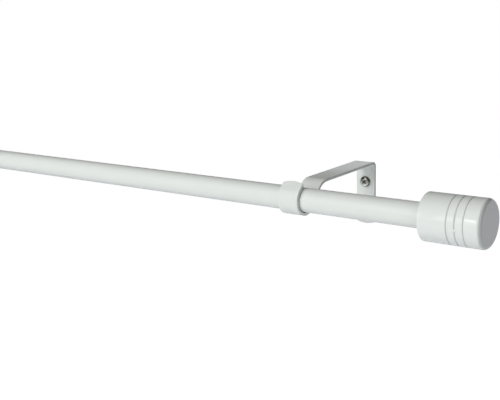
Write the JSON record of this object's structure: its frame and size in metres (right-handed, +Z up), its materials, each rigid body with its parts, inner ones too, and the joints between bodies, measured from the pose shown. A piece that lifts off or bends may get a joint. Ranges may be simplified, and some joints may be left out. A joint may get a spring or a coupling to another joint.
{
  "type": "extendable curtain rod",
  "caption": "White telescopic curtain rod: a thin tube slides out of a thick one, grooved cylinder finials push onto its ends, and bent strip brackets with open hooks carry it off a wall.",
  "frame": {"origin": "middle of the right bracket's two screws, on the wall plane", "axes": "+X along the rod towards the right finial, +Y into the wall, +Z up"},
  "size_m": [0.8916, 0.1389, 0.0592],
  "materials": {
    "painted_steel": "satin white powder coat",
    "finial_gloss": "glossy white",
    "white_plastic": "moulded white plastic",
    "plated_steel": "bright nickel plating"
  },
  "bodies": {
    "outer_section": {"outer_tube": "painted_steel", "mouth_collar": "white_plastic", "right_bracket": "painted_steel", "right_upper_screw": "plated_steel", "right_lower_screw": "plated_steel"},
    "inner_section": {"inner_tube": "painted_steel", "guide_bush": "white_plastic", "left_bracket": "painted_steel", "left_upper_screw": "plated_steel", "left_lower_screw": "plated_steel"},
    "right_end": {"right_finial": "finial_gloss", "right_finial_sleeve": "white_plastic"},
    "left_end": {"left_finial": "finial_gloss", "left_finial_sleeve": "white_plastic"}
  },
  "joints": [
    {"name": "rod_extension", "type": "slide", "parent": "outer_section", "child": "inner_section", "axis": [-1, 0, 0], "range_m": [0, 0.6]},
    {"name": "right_finial_pull", "type": "slide", "parent": "outer_section", "child": "right_end", "axis": [1, 0, 0], "range_m": [0, 0.03]},
    {"name": "left_finial_pull", "type": "slide", "parent": "inner_section", "child": "left_end", "axis": [-1, 0, 0], "range_m": [0, 0.03]}
  ]
}
